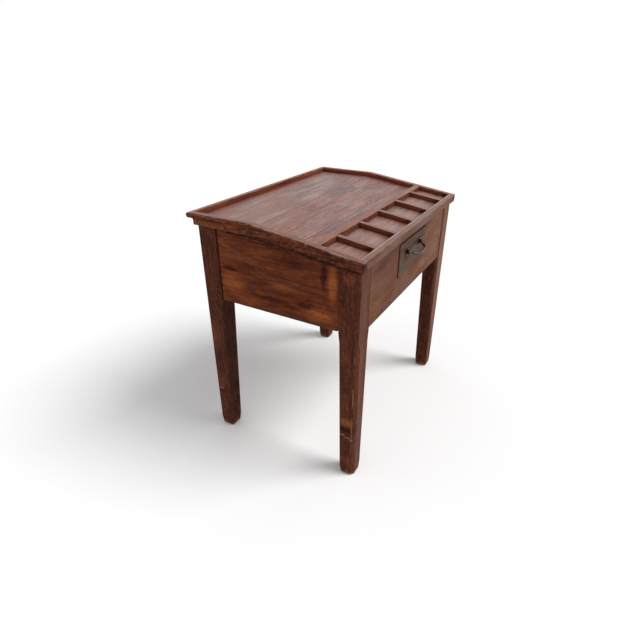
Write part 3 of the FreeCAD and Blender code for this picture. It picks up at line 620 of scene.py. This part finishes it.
for leg in LEGS:
    dress_leg(leg)
dress([f"side_apron_{side}" for side in SIDES], "Y", APRON, contrast=0.8, mottle=0.45, fine=1.2,
      shades=SIDE_SHADES, stains=SIDE_STAINS)
dress(["rear_apron"], "X", APRON, mottle=0.4, fine=1.1)
dress(["front_apron"], "X", FRONT, contrast=0.4, hue=0.2, gloss=0.045, dirt=0.1, dirt_reach=0.012,
      shades=FRONT_SHADES)
dress(["front_rail"], "X", FRONT, contrast=0.7, fine=1.6, wear=1.0, edge_reach=0.006, dusty=0.35, grime=0.8,
      gloss=0.12, top_gloss=0.4, dirt=0.3, dirt_reach=0.006, shades=FRONT_SHADES, stains=FRONT_SHEEN)
dress(TRAY_BOARDS, "X", TRAY, shades=TRAY_SHADES, stains=TRAY_STAINS_AND_PAINTED_LIGHT)
dress(["side_rail_left"], "Y", RAIL, dirt=0.3, stains=RAIL_STAINS + RAIL_SHADOW_LINE, rubs=RAIL_RUBS)
dress(["side_rail_right"], "Y", RAIL, dirt=0.1, shades=LIGHTER,
      stains=RAIL_STAINS + RAIL_INSIDE + WALL_CORNER_SHADOWS)
dress(["rear_rim", "compartment_bar"], "X", STRIP, shades=LIGHTER, stains=BAR_CORNER_SHADOWS)
dress(DIVIDERS, "Y", WALL, shades=LIGHTER, stains=RUDDY + WALL_CORNER_SHADOWS)
dress(["drawer_front"], "X", FACE, stains=FACE_STAINS)
dress(["drawer_back", "drawer_bottom"], "X", BARE)
dress([f"drawer_{part}_{side}" for part in ("side", "runner", "guide", "kicker", "stop") for side in SIDES],
      "Y", BARE)
iron_finish = iron()
for name in METAL:
    paint(name, iron_finish)


# Softened edges
EDGES = {"leg": 0.001, "handle": 0.0005}
PLAIN_EDGE = 0.0006
SHARP_ANGLE = math.radians(35)
WELD_REACH = 0.00001


def soften(name):
    """Round the sharp edges of a CAD node a little and shade it evenly."""
    piece = nodes[name]
    weld = piece.modifiers.new("weld", "WELD")
    weld.merge_threshold = WELD_REACH
    bevel = piece.modifiers.new("edges", "BEVEL")
    bevel.width = next((width for start, width in EDGES.items() if name.startswith(start)), PLAIN_EDGE)
    bevel.segments = 2
    bevel.limit_method = "ANGLE"
    bevel.angle_limit = SHARP_ANGLE
    piece.modifiers.new("shading", "WEIGHTED_NORMAL")


for name in nodes:
    soften(name)


# Floor, light and camera
def studio_floor():
    """A wide pale floor that catches the shadow."""
    mesh = bpy.data.meshes.new("floor")
    corners = [(-FLOOR_REACH, -FLOOR_REACH, 0), (FLOOR_REACH, -FLOOR_REACH, 0),
               (FLOOR_REACH, FLOOR_REACH, 0), (-FLOOR_REACH, FLOOR_REACH, 0)]
    mesh.from_pydata(corners, [], [(0, 1, 2, 3)])
    floor = bpy.data.objects.new("floor", mesh)
    bpy.context.scene.collection.objects.link(floor)
    graph = Graph("studio_floor")
    mesh.materials.append(graph.surface(Base_Color=FLOOR_COLOUR, Roughness=0.9, Specular_IOR_Level=0.0))


def studio_light():
    """A soft key light from the front right, and an even sky that looks white."""
    key = bpy.data.lights.new("key", "SUN")
    key.energy = KEY_STRENGTH
    key.angle = KEY_SOFTNESS
    lamp = bpy.data.objects.new("key", key)
    lamp.rotation_euler = Vector(KEY_FROM).to_track_quat("Z", "Y").to_euler()
    bpy.context.scene.collection.objects.link(lamp)
    world = bpy.data.worlds.new("sky")
    bpy.context.scene.world = world
    world.use_nodes = True
    tree = world.node_tree
    background = tree.nodes["Background"]
    background.inputs["Color"].default_value = (1, 1, 1, 1)
    path = tree.nodes.new("ShaderNodeLightPath")
    seen = path.outputs["Is Camera Ray"]
    for ray in ("Is Glossy Ray", "Is Transmission Ray"):
        either = tree.nodes.new("ShaderNodeMath")
        either.operation = "MAXIMUM"
        tree.links.new(seen, either.inputs[0])
        tree.links.new(path.outputs[ray], either.inputs[1])
        seen = either.outputs[0]
    level = tree.nodes.new("ShaderNodeMapRange")
    level.inputs["To Min"].default_value = SKY_STRENGTH
    level.inputs["To Max"].default_value = 1.0
    tree.links.new(seen, level.inputs["Value"])
    tree.links.new(level.outputs["Result"], background.inputs["Strength"])


def photo_camera():
    """The camera at the photograph's place and angle."""
    lens = bpy.data.cameras.new("camera")
    lens.lens = CAMERA_LENS
    lens.sensor_width = SENSOR
    camera = bpy.data.objects.new("camera", lens)
    camera.location = CAMERA_PLACE
    camera.rotation_euler = (math.pi/2 - CAMERA_DROP, 0, -CAMERA_TURN)
    bpy.context.scene.collection.objects.link(camera)
    bpy.context.scene.camera = camera


studio_floor()
studio_light()
photo_camera()
bpy.context.scene.view_settings.view_transform = "Standard"
